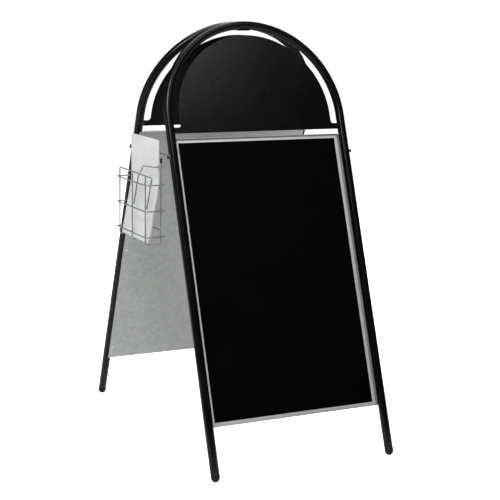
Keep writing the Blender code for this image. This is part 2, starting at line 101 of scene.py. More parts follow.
class Finish:
    """A procedural material in the making: one Principled shader and the nodes that feed it."""

    def __init__(self, name, **fixed):
        self.material = bpy.data.materials.new(name)
        self.material.use_nodes = True
        self.tree = self.material.node_tree
        self.shader = self.tree.nodes["Principled BSDF"]
        for socket, value in fixed.items():
            self.shader.inputs[socket.replace("_", " ")].default_value = value
        self.place = self.node("ShaderNodeTexCoord").outputs["Object"]

    def node(self, kind, settings=(), **inputs):
        made = self.tree.nodes.new(kind)
        for key, value in dict(settings).items():
            setattr(made, key, value)
        for socket, value in inputs.items():
            self.feed(made.inputs[socket.replace("_", " ")], value)
        return made

    def feed(self, socket, value):
        if isinstance(value, bpy.types.NodeSocket):
            self.tree.links.new(value, socket)
        else:
            socket.default_value = value

    def stretched(self, x, y, z):
        return self.node("ShaderNodeMapping", Vector=self.place, Scale=(x, y, z)).outputs[0]

    def noise(self, scale, detail=2.0, roughness=0.5, vector=None):
        made = self.node("ShaderNodeTexNoise", Vector=vector or self.place, Scale=scale,
                         Detail=detail, Roughness=roughness)
        return made.outputs["Fac"]

    def cells(self, scale, feature="F1", vector=None):
        return self.node("ShaderNodeTexVoronoi", {"feature": feature},
                         Vector=vector or self.place, Scale=scale)

    def spread(self, value, low, high, start=0.3, end=0.7):
        """The value's stretch from start to end, taken to low to high."""
        made = self.node("ShaderNodeMapRange")
        for socket, number in zip(made.inputs[:5], (value, start, end, low, high)):
            self.feed(socket, number)
        return made.outputs[0]

    def ramp(self, value, *stops):
        made = self.node("ShaderNodeValToRGB", Fac=value)
        band = made.color_ramp
        while len(band.elements) < len(stops):
            band.elements.new(0.5)
        for element, (position, colour) in zip(band.elements, stops):
            element.position = position
            element.color = (*colour, 1)
        return made.outputs["Color"]

    def mixed(self, amount, first, second):
        made = self.node("ShaderNodeMix", {"data_type": "RGBA"})
        self.feed(made.inputs[0], amount)
        self.feed(made.inputs[6], first)
        self.feed(made.inputs[7], second)
        return made.outputs[2]

    def maths(self, operation, first, second):
        made = self.node("ShaderNodeMath", {"operation": operation})
        self.feed(made.inputs[0], first)
        self.feed(made.inputs[1], second)
        return made.outputs[0]

    def colour(self, value):
        self.feed(self.shader.inputs["Base Color"], value)

    def rough(self, value):
        self.feed(self.shader.inputs["Roughness"], value)

    def bump(self, height, distance, strength=1.0):
        below = self.shader.inputs["Normal"]
        made = self.node("ShaderNodeBump", Height=height, Distance=distance, Strength=strength)
        if below.is_linked:
            self.feed(made.inputs["Normal"], below.links[0].from_socket)
        self.feed(below, made.outputs[0])


def grey(level, tint=(1.0, 1.0, 1.0)):
    return tuple(level * part for part in tint)


def powder_coat():
    """Semi-gloss black powder coat: orange peel, a little dust, and faint rubbed streaks."""
    finish = Finish("powder_coat_black", Specular_IOR_Level=0.16)
    clouds = finish.noise(9, 5, 0.6)
    base = finish.ramp(clouds, (0.3, grey(0.0006)), (0.7, grey(0.0014, (1, 1, 1.05))))
    streaks = finish.noise(34, 4, 0.65, finish.stretched(1, 1, 0.22))
    rubbed = finish.spread(streaks, 0.0, 0.35, 0.62, 0.80)
    finish.colour(finish.mixed(rubbed, base, (0.005, 0.005, 0.0052, 1)))
    sheen = finish.spread(clouds, 0.22, 0.30)
    finish.rough(finish.maths("ADD", sheen, finish.maths("MULTIPLY", rubbed, 0.35)))
    finish.bump(finish.noise(420, 1.5), 0.00012)
    finish.bump(finish.noise(1500, 1), 0.00003)
    return finish.material


def plug_plastic():
    finish = Finish("plug_plastic", Specular_IOR_Level=0.20)
    finish.colour(finish.ramp(finish.noise(60, 4), (0.3, grey(0.002)), (0.75, grey(0.005))))
    finish.rough(finish.spread(finish.noise(25, 3), 0.48, 0.62))
    finish.bump(finish.cells(1400).outputs["Distance"], 0.00006)
    return finish.material


def galvanised():
    """Hot-dip zinc: broad spangles, a fine grain in each, and a pale bloom over them."""
    finish = Finish("galvanised_steel", Metallic=0.45, Specular_IOR_Level=0.45)
    drift = finish.noise(13, 3)
    warped = finish.node("ShaderNodeVectorMath", {"operation": "MULTIPLY_ADD"})
    finish.feed(warped.inputs[0], finish.node("ShaderNodeTexNoise", Vector=finish.place,
                                              Scale=45.0, Detail=2.0).outputs["Color"])
    warped.inputs[1].default_value = (0.012, 0.012, 0.012)
    finish.feed(warped.inputs[2], finish.place)
    spangle = finish.cells(95, vector=warped.outputs[0])
    tone = finish.node("ShaderNodeSeparateColor", Color=spangle.outputs["Color"]).outputs[0]
    grain = finish.noise(700, 3, 0.7)
    base = finish.ramp(tone, (0.0, (0.315, 0.325, 0.317)), (1.0, (0.382, 0.392, 0.382)))
    bloom = finish.spread(drift, 0.0, 0.30, 0.42, 0.72)
    base = finish.mixed(bloom, base, (0.435, 0.443, 0.43, 1))
    fleck = finish.spread(grain, 0.0, 0.16, 0.45, 0.75)
    finish.colour(finish.mixed(fleck, base, (0.245, 0.252, 0.249, 1)))
    finish.rough(finish.maths("ADD", finish.spread(tone, 0.42, 0.56, 0.0, 1.0),
                              finish.maths("MULTIPLY", bloom, 0.2)))
    finish.bump(tone, 0.00004)
    finish.bump(grain, 0.00003)
    return finish.material


def poster_black():
    """A solid black print on satin poster paper."""
    finish = Finish("poster_black", Specular_IOR_Level=0.04)
    finish.colour(finish.ramp(finish.noise(5, 5, 0.6), (0.35, grey(0.0004)),
                              (0.7, grey(0.0008))))
    finish.rough(finish.spread(finish.noise(60, 3), 0.62, 0.72))
    finish.bump(finish.noise(900, 3, 0.7), 0.00003)
    return finish.material


def border_white():
    """White vinyl on a magnetic strip, with thumb marks and a fine calendered grain."""
    finish = Finish("border_white", Specular_IOR_Level=0.35)
    marks = finish.noise(22, 5, 0.62)
    finish.colour(finish.ramp(marks, (0.30, (0.74, 0.745, 0.735)), (0.52, (0.82, 0.825, 0.82)),
                              (0.8, (0.86, 0.865, 0.86))))
    finish.rough(finish.spread(marks, 0.50, 0.38))
    finish.bump(finish.noise(650, 2), 0.00005)
    return finish.material


def clear_cover():
    """Clear polyester: nothing from straight ahead, a soft gloss at a shallow angle."""
    finish = Finish("clear_cover", Specular_IOR_Level=0.25)
    finish.colour(finish.ramp(finish.noise(14, 3), (0.3, grey(0.004)), (0.7, grey(0.008))))
    finish.rough(finish.spread(finish.noise(30, 4, 0.6), 0.16, 0.25))
    edge = finish.node("ShaderNodeFresnel", IOR=1.35).outputs[0]
    finish.feed(finish.shader.inputs["Alpha"], finish.spread(edge, 0.03, 0.85, 0.02, 0.9))
    finish.bump(finish.noise(7, 2), 0.0003)
    return finish.material


def zinc_plate():
    finish = Finish("zinc_plate", Metallic=0.92)
    finish.colour(finish.ramp(finish.noise(180, 4), (0.3, (0.50, 0.50, 0.47)),
                              (0.7, (0.66, 0.665, 0.65))))
    finish.rough(finish.spread(finish.noise(400, 3), 0.24, 0.42))
    finish.bump(finish.noise(1600, 2), 0.00003)
    return finish.material


def bolt_black():
    """Black oxide on a socket bolt, rubbed paler where a key has been in it."""
    finish = Finish("bolt_black", Metallic=0.6, Specular_IOR_Level=0.4)
    worn = finish.spread(finish.noise(520, 4, 0.65), 0.0, 0.5, 0.56, 0.74)
    finish.colour(finish.mixed(worn, (0.012, 0.012, 0.013, 1), (0.06, 0.06, 0.058, 1)))
    finish.rough(finish.spread(worn, 0.42, 0.30, 0.0, 0.5))
    finish.bump(finish.noise(1400, 2), 0.00003)
    return finish.material


def chrome_wire():
    """Zinc-chrome on drawn wire: lengthwise drawing marks, dulled in patches."""
    finish = Finish("chrome_wire", Metallic=0.7, Specular_IOR_Level=0.45)
    clouds = finish.noise(85, 4, 0.6)
    finish.colour(finish.ramp(clouds, (0.3, (0.21, 0.218, 0.222)), (0.7, (0.31, 0.318, 0.32))))
    finish.rough(finish.spread(clouds, 0.48, 0.34))
    finish.bump(finish.noise(1800, 2, vector=finish.stretched(1, 1, 0.3)), 0.00003)
    return finish.material


def sleeve_rubber():
    finish = Finish("sleeve_rubber", Specular_IOR_Level=0.25)
    finish.colour(finish.ramp(finish.noise(300, 3), (0.3, grey(0.010)), (0.7, grey(0.022))))
    finish.rough(finish.spread(finish.noise(200, 3), 0.70, 0.85))
    finish.bump(finish.noise(2200, 2), 0.00006)
    return finish.material


def leaflet_paper():
    """Coated paper with a soft silk finish."""
    finish = Finish("leaflet_paper", Specular_IOR_Level=0.35)
    finish.colour(finish.ramp(finish.noise(11, 3), (0.3, (0.57, 0.575, 0.58)),
                              (0.7, (0.62, 0.625, 0.63))))
    finish.rough(finish.spread(finish.noise(35, 3), 0.40, 0.52))
    finish.bump(finish.noise(1300, 3, 0.7), 0.00003)
    return finish.material


FINISHES = {make.__name__: make for make in
            (plug_plastic, poster_black, border_white, clear_cover, zinc_plate, bolt_black,
             chrome_wire, sleeve_rubber, leaflet_paper)}
FINISHES.update(powder_coat_black=powder_coat, galvanised_steel=galvanised)
MATERIALS = {slot: make() for slot, make in FINISHES.items()}


# ---------------------------------------------------------------- mesh helpers

def piece(name, bm, slot, body, replaces=(), matrix=None, sharp=35.0):
    """Turns the mesh into a piece that rides on a body and takes its finish from a slot."""
    if matrix:
        bmesh.ops.transform(bm, matrix=matrix, verts=bm.verts)
    bmesh.ops.recalc_face_normals(bm, faces=bm.faces)
    mesh = bpy.data.meshes.new(name)
    bm.to_mesh(mesh)
    bm.free()
    mesh.shade_smooth()
    mesh.set_sharp_from_angle(angle=radians(sharp))
    mesh.materials.append(MATERIALS[slot])
    ob = bpy.data.objects.new(name, mesh)
    bpy.context.scene.collection.objects.link(ob)
    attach(ob, body)
    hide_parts(*replaces)
    return ob


def rounded_edges(ob, width, segments=2):
    """Takes the sharpness off a plate's edges with a bevel modifier."""
    bevel = ob.modifiers.new("edges", "BEVEL")
    bevel.width = width
    bevel.segments = segments
    bevel.limit_method = "ANGLE"
    bevel.angle_limit = radians(35)
    bevel.harden_normals = True


def carry_over(node, slot, edge=0.0):
    """Shows a CAD node as it is, in a procedural finish."""
    ob = frame["nodes"][node]
    ob.data.materials.clear()
    ob.data.materials.append(MATERIALS[slot])
    if edge:
        rounded_edges(ob, edge)


def ring(bm, centre, across, up, outline):
    """One ring of vertices: the outline's (a, b) points laid out along across and up."""
    return [bm.verts.new(centre + across * a + up * b) for a, b in outline]


def skin(bm, rings):
    """Joins each ring to the next with quads, and closes the two ends."""
    for one, two in zip(rings, rings[1:]):
        for i in range(len(one)):
            j = (i + 1) % len(one)
            bm.faces.new((one[i], one[j], two[j], two[i]))
    bm.faces.new(rings[0])
    bm.faces.new(list(reversed(rings[-1])))


def circle(radius, sides):
    return [(radius * cos(2 * pi * i / sides), radius * sin(2 * pi * i / sides))
            for i in range(sides)]


def sweep(bm, points, radius, sides):
    """A round bar along the points, with domed ends."""
    points = [Vector(p) for p in points]
    heading = (points[1] - points[0]).normalized()
    across = heading.orthogonal().normalized()
    rings = []
    last = len(points) - 1
    for i, point in enumerate(points):
        on = (points[min(i + 1, last)] - points[max(i - 1, 0)]).normalized()
        across = (heading.rotation_difference(on) @ across).normalized()
        across = (across - on * across.dot(on)).normalized()
        heading = on
        up = on.cross(across)
        stations = [(point, radius)]
        if i == 0:
            stations = tip_stations(point, -on, radius)[::-1]
        elif i == last:
            stations = tip_stations(point, on, radius)
        rings += [ring(bm, centre, across, up, circle(size, sides)) for centre, size in stations]
    skin(bm, rings)


def tip_stations(end, out, radius):
    """The centres and radii of a dome that stands within one radius of a bar's end."""
    base = end - out * radius
    return [(base + out * radius * sin(a), radius * cos(a))
            for a in (0, radians(22), radians(45), radians(64), radians(80))]


def rounded(corners, radius, steps=8):
    """The path through the corners, with an arc of the given radius at each inner one."""
    points = [Vector(corners[0])]
    for before, corner, after in zip(corners, corners[1:], corners[2:]):
        corner = Vector(corner)
        back = (Vector(before) - corner).normalized()
        on = (Vector(after) - corner).normalized()
        half = back.angle(on) / 2
        reach = radius / tan(half)
        centre = corner + (back + on).normalized() * (radius / sin(half))
        start = corner + back * reach - centre
        axis, angle = start.rotation_difference(corner + on * reach - centre).to_axis_angle()
        for step in range(steps + 1):
            points.append(centre + Quaternion(axis, angle * step / steps) @ start)
    points.append(Vector(corners[-1]))
    return points


def spun(bm, profile, sides, matrix=None):
    """The (radius, height) profile turned about Z into a closed solid; its ends lie on Z."""
    start = len(bm.verts)
    rings = [[bm.verts.new((r * cos(2 * pi * i / sides), r * sin(2 * pi * i / sides), z))
              for i in range(sides)] for r, z in profile[1:-1]]
    poles = [bm.verts.new((0, 0, z)) for _, z in (profile[0], profile[-1])]
    for one, two in zip(rings, rings[1:]):
        for i in range(sides):
            j = (i + 1) % sides
            bm.faces.new((one[i], one[j], two[j], two[i]))
    for pole, edge in zip(poles, (rings[0], rings[-1])):
        for i in range(sides):
            bm.faces.new((pole, edge[i], edge[(i + 1) % sides]))
    if matrix:
        bm.verts.ensure_lookup_table()
        bmesh.ops.transform(bm, matrix=matrix, verts=bm.verts[start:])


def plate(outline, back, front):
    """The outline's (x, z) points as a flat plate from y = back to y = front."""
    bm = bmesh.new()
    loops = [[bm.verts.new((x, y, z)) for x, z in outline] for y in (back, front)]
    skin(bm, loops)
    return bm


# ---------------------------------------------------------------- the hoops

TUBE_SIDES = 48
ARCH_STEPS = 96
FOOT_GROOVE = 0.0004


def tube_line():
    """The hoop's centre line from one foot up, over the arch and down to the other."""
    half = TUBE_HALF
    low = TUBE_LOW.z
    points = [Vector((-half, 0, low + (LEG - low) * step / 6)) for step in range(6)]
    points += [Vector((-half * cos(a), 0, LEG + half * sin(a)))
               for a in (pi * step / ARCH_STEPS for step in range(ARCH_STEPS + 1))]
    return points + [Vector((-p.x, 0, p.z)) for p in reversed(points[:6])]


def make_tube(side):
    """The bent tube, painted, its ends rolled in a little over the plugs."""
    bm = bmesh.new()
    line = tube_line()
    rings = []
    for i, centre in enumerate(line):
        ahead = line[min(i + 1, len(line) - 1)] - line[max(i - 1, 0)]
        out = Vector((-ahead.z, 0, ahead.x)).normalized()
        if i in (0, len(line) - 1):
            inward = Vector((0, 0, 0.0012))
            rings_here = [(centre, TUBE_R - 0.0011), (centre + inward * 0.25, TUBE_R - 0.0004),
                          (centre + inward, TUBE_R)]
            if i:
                rings_here.reverse()
        else:
            rings_here = [(centre, TUBE_R)]
        rings += [ring(bm, c, out, Vector((0, 1, 0)), circle(r, TUBE_SIDES))
                  for c, r in rings_here]
    skin(bm, rings)
    return piece(side + "_hoop_tube", bm, "powder_coat_black", side + "_frame",
                 [side + "_tube"], HOOPS[side])


def header_outline():
    """A disc segment over a straight foot; the slots beside it end in quarter rounds."""
    half, low = HEADER_HIGH.x, HEADER_LOW.z
    tab = low + HEADER_TAB
    centre = LEG + HEADER_RISE
    radius = HEADER_HIGH.z - centre
    right = [(half, low), (half, tab)]
    right += [(radius + SLOT_FILLET * (1 + cos(a)), tab + SLOT_FILLET * (1 + sin(a)))
              for a in (-pi / 2 - step * pi / 16 for step in range(9))]
    arc = [(radius * cos(a), centre + radius * sin(a))
           for a in (step * pi / ARCH_STEPS for step in range(ARCH_STEPS + 1))]
    return right + arc + [(-x, z) for x, z in reversed(right)]


def make_header(side):
    header = piece(side + "_header_plate", plate(header_outline(), HEADER_LOW.y, HEADER_HIGH.y),
                   "powder_coat_black", side + "_frame", [side + "_header"], HOOPS[side])
    rounded_edges(header, 0.0005)
    return header


def make_header_welds(side):
    """A painted fillet weld down each face of the header's two tabs, where they meet the tube."""
    random.seed(side)
    bm = bmesh.new()
    toe = 0.0024
    for x in (-1, 1):
        for face in (HEADER_LOW.y, HEADER_HIGH.y):
            steps = 15
            points, sizes = [], []
            for step in range(steps + 1):
                z = HEADER_LOW.z + 0.0012 + (HEADER_TAB - 0.0024) * step / steps
                points.append(Vector((x * (HEADER_HIGH.x - 0.0004), face, z)))
                sizes.append(toe * (0.82 + 0.18 * abs(sin(step * pi / 2)) + random.uniform(0, 0.06)))
            sizes[0] = sizes[-1] = toe * 0.35
            rings = [ring(bm, p, Vector((1, 0, 0)), Vector((0, 1, 0)), circle(s, 12))
                     for p, s in zip(points, sizes)]
            skin(bm, rings)
    return piece(side + "_header_welds", bm, "powder_coat_black", side + "_frame", (),
                 HOOPS[side], 60)


def make_feet(side):
    """A moulded plug in each tube end: domed, flat where it stands, with a parting line."""
    low = TUBE_LOW.z
    side_top = low - FOOT_GROOVE
    for name in ("left", "right"):
        node = f"{side}_foot_{name}"
        foot_low, foot_high = box_in(node, HOOPS[side])
        dome_z = side_top - 0.0100 + 0.0003
        profile = [(0, dome_z - TUBE_R)]
        profile += [(TUBE_R * sin(a), dome_z - TUBE_R * cos(a))
                    for a in (step * pi / 24 for step in range(1, 13))]
        profile += [(TUBE_R, side_top - 0.0006), (TUBE_R - 0.0005, side_top),
                    (TUBE_R - 0.0020, side_top), (TUBE_R - 0.0020, side_top + 0.0040),
                    (0, side_top + 0.0040)]
        bm = bmesh.new()
        spun(bm, profile, TUBE_SIDES,
             Matrix.Translation(((foot_low.x + foot_high.x) / 2, 0, 0)))
        to_world = HOOPS[side]
        back = to_world.inverted()
        for vert in bm.verts:
            world = to_world @ vert.co
            if world.z < 0:
                world.z = 0
                vert.co = back @ world
        piece(f"{side}_foot_plug_{name}", bm, "plug_plastic", side + "_frame", [node],
              HOOPS[side], 50)


def make_rivets(side):
    """Pop rivets: a low dome with the rim rolled down and the broken stem in its middle."""
    for number in range(1, 7):
        node = f"{side}_rivet_{number}"
        low, high = box_in(node, HOOPS[side])
        head_r = (high.x - low.x) / 2
        face = high.y - 0.0012
        shank = head_r / 2
        profile = [(0, low.y), (shank, low.y), (shank, face), (head_r * 0.97, face),
                   (head_r, face + 0.00015), (head_r * 0.93, face + 0.00045),
                   (head_r * 0.72, face + 0.00090), (head_r * 0.46, high.y - 0.00005),
                   (head_r * 0.34, high.y), (head_r * 0.28, high.y - 0.00008),
                   (head_r * 0.25, high.y - 0.0007), (head_r * 0.10, high.y - 0.00045),
                   (0, high.y - 0.0004)]
        turn = (Matrix.Translation(((low.x + high.x) / 2, 0, (low.z + high.z) / 2))
                @ Matrix.Rotation(-pi / 2, 4, "X"))
        bm = bmesh.new()
        spun(bm, profile, 32, turn)
        piece(f"{side}_pop_rivet_{number}", bm, "zinc_plate", side + "_frame", [node],
              HOOPS[side], 40)


def make_bolts(side):
    """Button-head socket bolts, their necks standing out of the flanges of the rivet nuts."""
    for name in ("left", "right"):
        bolt = f"{side}_bolt_{name}"
        low, high = box_in(bolt, HOOPS[side])
        outward = 1 if low.x + high.x > 0 else -1
        tip = high.x if outward > 0 else -low.x
        head_r = (high.z - low.z) / 2
        head_t, neck_r, flange_r = 0.0022, 0.0030, 0.0046
        inner = -high.x if outward < 0 else low.x
        base = tip - head_t
        profile = [(0, inner), (0.0026, inner), (0.0026, base - 0.0050), (neck_r, base - 0.0045),
                   (neck_r, base), (head_r * 0.95, base), (head_r, base + 0.0003),
                   (head_r, base + 0.0010)]
        profile += [(head_r * (0.55 + 0.45 * cos(a)), base + 0.0010 + (head_t - 0.0010) * sin(a))
                    for a in (step * pi / 12 for step in range(1, 7))]
        socket_r = head_r * 0.42
        profile += [(socket_r * 1.06, tip), (socket_r, tip - 0.0002), (socket_r, tip - 0.0014),
                    (0, tip - 0.0016)]
        turn = (Matrix.Translation((0, 0, (low.z + high.z) / 2))
                @ Matrix.Rotation(outward * pi / 2, 4, "Y"))
        bm = bmesh.new()
        spun(bm, profile, 36, turn)
        make_hexagonal(bm, turn, socket_r, tip)
        piece(f"{side}_socket_bolt_{name}", bm, "bolt_black", side + "_frame", [bolt],
              HOOPS[side], 30)
        make_rivnut(side, name, turn, flange_r)


def make_hexagonal(bm, turn, socket_r, tip):
    """Draws the socket's round wall in to a hexagon that the wall's circle surrounds."""
    back = turn.inverted()
    for vert in bm.verts:
        spot = back @ vert.co
        reach = Vector((spot.x, spot.y)).length
        if spot.z > tip - 0.0025 and 1e-6 < reach <= socket_r * 1.001:
            angle = atan2(spot.y, spot.x)
            off = (angle + pi / 6) % (pi / 3) - pi / 6
            scale = cos(pi / 6) / cos(off + (pi / 6 if off < 0 else -pi / 6))
            vert.co = turn @ Vector((spot.x * scale, spot.y * scale, spot.z))


def make_rivnut(side, name, turn, flange_r):
    node = f"{side}_rivnut_{name}"
    low, high = box_in(node, HOOPS[side])
    wall = TUBE_HALF + TUBE_R
    inner, body_r, bore = wall - 0.0090, 0.0042, 0.0031
    bm = bmesh.new()
    profile = [(bore, inner), (body_r, inner), (body_r, wall - 0.0008), (flange_r, wall - 0.0004),
               (flange_r, wall), (flange_r - 0.0003, wall + 0.00015),
               (bore + 0.0003, wall + 0.00015), (bore, wall)]
    sides = 32
    loops = [[bm.verts.new(turn @ Vector((r * cos(2 * pi * i / sides),
                                          r * sin(2 * pi * i / sides), z)))
              for i in range(sides)] for r, z in profile]
    for one, two in zip(loops, loops[1:] + loops[:1]):
        for i in range(sides):
            j = (i + 1) % sides
            bm.faces.new((one[i], one[j], two[j], two[i]))
    piece(f"{side}_rivet_nut_{name}", bm, "zinc_plate", side + "_frame", [node], HOOPS[side], 40)


def make_border(side):
    """Four magnetic strips with mitred corners, a hair apart."""
    low, high = box_in(side + "_border", HOOPS[side])
    outer = [(low.x, low.z), (high.x, low.z), (high.x, high.z), (low.x, high.z)]
    inner = [(low.x + BORDER, low.z + BORDER), (high.x - BORDER, low.z + BORDER),
             (high.x - BORDER, high.z - BORDER), (low.x + BORDER, high.z - BORDER)]
    cut = 0.00012
    for number, name in enumerate(("bottom", "right", "top", "left")):
        after = (number + 1) % 4
        corners = [Vector(outer[number]), Vector(outer[after]), Vector(inner[after]),
                   Vector(inner[number])]
        along = (corners[1] - corners[0]).normalized() * cut
        corners = [corners[0] + along, corners[1] - along, corners[2] - along,
                   corners[3] + along]
        strip = piece(f"{side}_border_{name}", plate(corners, low.y, high.y), "border_white",
                      side + "_cover", [side + "_border"] if number == 0 else (), HOOPS[side])
        rounded_edges(strip, 0.00018)


def make_hoop(side):
    make_tube(side)
    make_header(side)
    make_header_welds(side)
    make_feet(side)
    make_rivets(side)
    make_bolts(side)
    make_border(side)
    carry_over(side + "_sheet", "galvanised_steel", 0.0003)
    carry_over(side + "_poster", "poster_black", 0.0001)
    carry_over(side + "_cover", "clear_cover", 0.0001)


def make_hinge():
    for node in ("hinge_front_leaf", "hinge_rear_leaf"):
        carry_over(node, "powder_coat_black", 0.0002)
    carry_over("hinge_pin", "zinc_plate", 0.0003)


# ---------------------------------------------------------------- the brochure holder
# The places come from the CAD wires' boxes; it hangs on the left, outside the board.

RAILS = ["holder_rail_1", "holder_rail_2", "holder_rail_3"]
RAIL_LOW, RAIL_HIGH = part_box(RAILS[0])
FRONT_LOW, FRONT_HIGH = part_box("holder_front_wire")
_, REAR_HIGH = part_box("holder_rear_wire")
_, MID_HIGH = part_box("holder_middle_wire")
WIRE_R = (RAIL_HIGH.z - RAIL_LOW.z) / 2
WIRE_SIDES = 14
OUT_X = RAIL_LOW.x + WIRE_R                # the rails' outer runs
ARM_Y = RAIL_HIGH.y - WIRE_R               # the rails' arms
UPRIGHT_X = FRONT_LOW.x + WIRE_R           # the outer uprights
UPRIGHT_Y = WIRE_R - FRONT_HIGH.y
BACK_Y = REAR_HIGH.y - WIRE_R              # the back uprights
HOOK_X = REAR_HIGH.x
HOOK_Z = REAR_HIGH.z - WIRE_R              # where the side wires reach the back bar
FLOOR = FRONT_LOW.z + WIRE_R
STEP = UPRIGHT_X - OUT_X                   # between the centres of two wires that touch
TOP_RAIL_Z = 0.7920
LOOP_RISE = 0.0240
LOOP_Y = -0.0570                           # where the top rail starts to rise
LOOP_RUN = 0.0150
LOOP_IN = 0.0240
FRONT_UPRIGHT_TOP = 0.7900
BEND = 0.0060


def middle_of(node):
    low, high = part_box(node)
    return (low + high) / 2


BAR = middle_of("holder_bar")
CROSSES = {name: middle_of("holder_cross_" + name) for name in ("upper", "lower")}
BACK_X = CROSSES["upper"].x
RAIL_Z = [middle_of(rail).z for rail in RAILS]
MID_X = MID_HIGH.x - WIRE_R


def bar(name, corners, replaces):
    """A straight wire between two corners, or one bent at each of its inner corners."""
    bm = bmesh.new()
    points = rounded(corners, BEND) if len(corners) > 2 else [
        Vector(corners[0]).lerp(Vector(corners[1]), step / 12) for step in range(13)]
    sweep(bm, points, WIRE_R, WIRE_SIDES)
    return piece(name, bm, "chrome_wire", "holder", [replaces], sharp=60)


def make_rails():
    for number, (node, z) in enumerate(zip(RAILS, RAIL_Z), start=1):
        tip = RAIL_HIGH.x
        corners = [(tip, ARM_Y, z), (OUT_X, ARM_Y, z), (OUT_X, -ARM_Y, z), (tip, -ARM_Y, z)]
        bar(f"holder_side_rail_{number}", corners, node)


def make_front_wire():
    corners = [(HOOK_X, -BACK_Y, HOOK_Z), (BACK_X, -BACK_Y, HOOK_Z), (BACK_X, -BACK_Y, FLOOR),
               (UPRIGHT_X, -UPRIGHT_Y, FLOOR), (UPRIGHT_X, -UPRIGHT_Y, FRONT_UPRIGHT_TOP)]
    bar("holder_front_hook_wire", corners, "holder_front_wire")


def make_rear_wire():
    """The rear wire goes on as the top rail and ends in the raised loop at the front."""
    top = TOP_RAIL_Z + LOOP_RISE
    corners = [(HOOK_X, BACK_Y, HOOK_Z), (BACK_X, BACK_Y, HOOK_Z), (BACK_X, BACK_Y, FLOOR),
               (UPRIGHT_X, UPRIGHT_Y, FLOOR), (UPRIGHT_X, UPRIGHT_Y, TOP_RAIL_Z),
               (UPRIGHT_X, LOOP_Y, TOP_RAIL_Z), (UPRIGHT_X + STEP, LOOP_Y - LOOP_RUN, top),
               (BACK_X - LOOP_IN, -BACK_Y, top), (BACK_X - STEP, -BACK_Y, top)]
    bar("holder_rear_hook_wire", corners, "holder_rear_wire")


def make_middle_wire():
    corners = [(MID_X, 0, CROSSES["upper"].z + BEND), (MID_X, 0, FLOOR), (UPRIGHT_X, 0, FLOOR),
               (UPRIGHT_X, 0, TOP_RAIL_Z - WIRE_R - 0.0001)]
    bar("holder_centre_wire", corners, "holder_middle_wire")


def make_back_wires():
    low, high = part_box("holder_bar")
    bar("holder_hanging_bar", [(BAR.x, high.y, BAR.z), (BAR.x, low.y, BAR.z)], "holder_bar")
    for name, spot in CROSSES.items():
        low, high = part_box("holder_cross_" + name)
        bar(f"holder_back_wire_{name}", [(spot.x, high.y, spot.z), (spot.x, low.y, spot.z)],
            "holder_cross_" + name)


def make_retainer():
    low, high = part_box("holder_retainer")
    foot, top_x, top_z = UPRIGHT_X + STEP, high.x - WIRE_R, high.z - WIRE_R
    corners = [(foot, 0, low.z), (top_x, 0, top_z), (top_x, -UPRIGHT_Y, top_z),
               (foot, -UPRIGHT_Y, low.z)]
    bar("holder_leaflet_retainer", corners, "holder_retainer")


def weld_spots():
    """Where two wires lie against each other, and the direction from one to the other."""
    spots = []
    between_x = (OUT_X + UPRIGHT_X) / 2
    between_y = (ARM_Y + BACK_Y) / 2
    for z in RAIL_Z:
        spots += [(Vector((between_x, y, z)), Vector((1, 0, 0)))
                  for y in (-UPRIGHT_Y, 0, UPRIGHT_Y)]
        spots += [(Vector((BACK_X, y * between_y, z)), Vector((0, 1, 0))) for y in (-1, 1)]
    for y in (-1, 1):
        spots.append((Vector((BAR.x, y * BACK_Y, (BAR.z + HOOK_Z) / 2)), Vector((0, 0, 1))))
        for spot in CROSSES.values():
            spots.append((Vector((BACK_X, y * (BACK_Y - WIRE_R), spot.z)), Vector((0, 1, 0))))
    for spot in CROSSES.values():
        spots.append((Vector(((BACK_X + MID_X) / 2, 0, spot.z)), Vector((1, 0, 0))))
    retainer_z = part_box("holder_retainer")[0].z + 0.003
    spots += [(Vector((UPRIGHT_X + STEP / 2, y, retainer_z)), Vector((1, 0, 0)))
              for y in (0, -UPRIGHT_Y)]
    spots.append((Vector((BACK_X - STEP / 2, -BACK_Y, TOP_RAIL_Z + LOOP_RISE)),
                  Vector((1, 0, 0))))
    return spots


def make_welds():
    """A squeezed nugget at each place where two wires were spot welded."""
    random.seed("welds")
    bm = bmesh.new()
    for spot, on in weld_spots():
        size = WIRE_R * random.uniform(0.86, 1.0)
        turn = Vector((0, 0, 1)).rotation_difference(on).to_matrix().to_4x4()
        bmesh.ops.create_icosphere(bm, subdivisions=3, radius=size,
                                   matrix=Matrix.Translation(spot) @ turn
                                   @ Matrix.Diagonal((0.92, 0.92, random.uniform(1.0, 1.2), 1)))
    piece("holder_spot_welds", bm, "chrome_wire", "holder", sharp=60)


def make_sleeve():
    """A soft rubber sleeve on the front hook wire, its ends cut with a small roll."""
    low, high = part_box("holder_sleeve")
    centre = (low + high) / 2
    outer, inner, lip = (high.x - low.x) / 2, WIRE_R + 0.0001, 0.0004
    profile = [(inner, low.z + lip), (inner + lip, low.z), (outer - lip, low.z),
               (outer, low.z + lip), (outer * 0.95, centre.z), (outer, high.z - lip),
               (outer - lip, high.z), (inner + lip, high.z), (inner, high.z - lip)]
    bm = bmesh.new()
    loops = [ring(bm, Vector((centre.x, centre.y, z)), Vector((1, 0, 0)), Vector((0, 1, 0)),
                  circle(r, 32)) for r, z in profile]
    for one, two in zip(loops, loops[1:] + loops[:1]):
        for i in range(32):
            j = (i + 1) % 32
            bm.faces.new((one[i], one[j], two[j], two[i]))
    piece("holder_rubber_sleeve", bm, "sleeve_rubber", "holder", ["holder_sleeve"], sharp=50)


def make_holder():
    make_rails()
    make_front_wire()
    make_rear_wire()
    make_middle_wire()
    make_back_wires()
    make_retainer()
    make_welds()
    make_sleeve()


# ---------------------------------------------------------------- leaflets

LEAFLETS = 8
STACK_LOW, STACK_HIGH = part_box("leaflets")
STACK_T = 0.0040
KNEE_Z = 0.7583
KNEE_R = 0.120


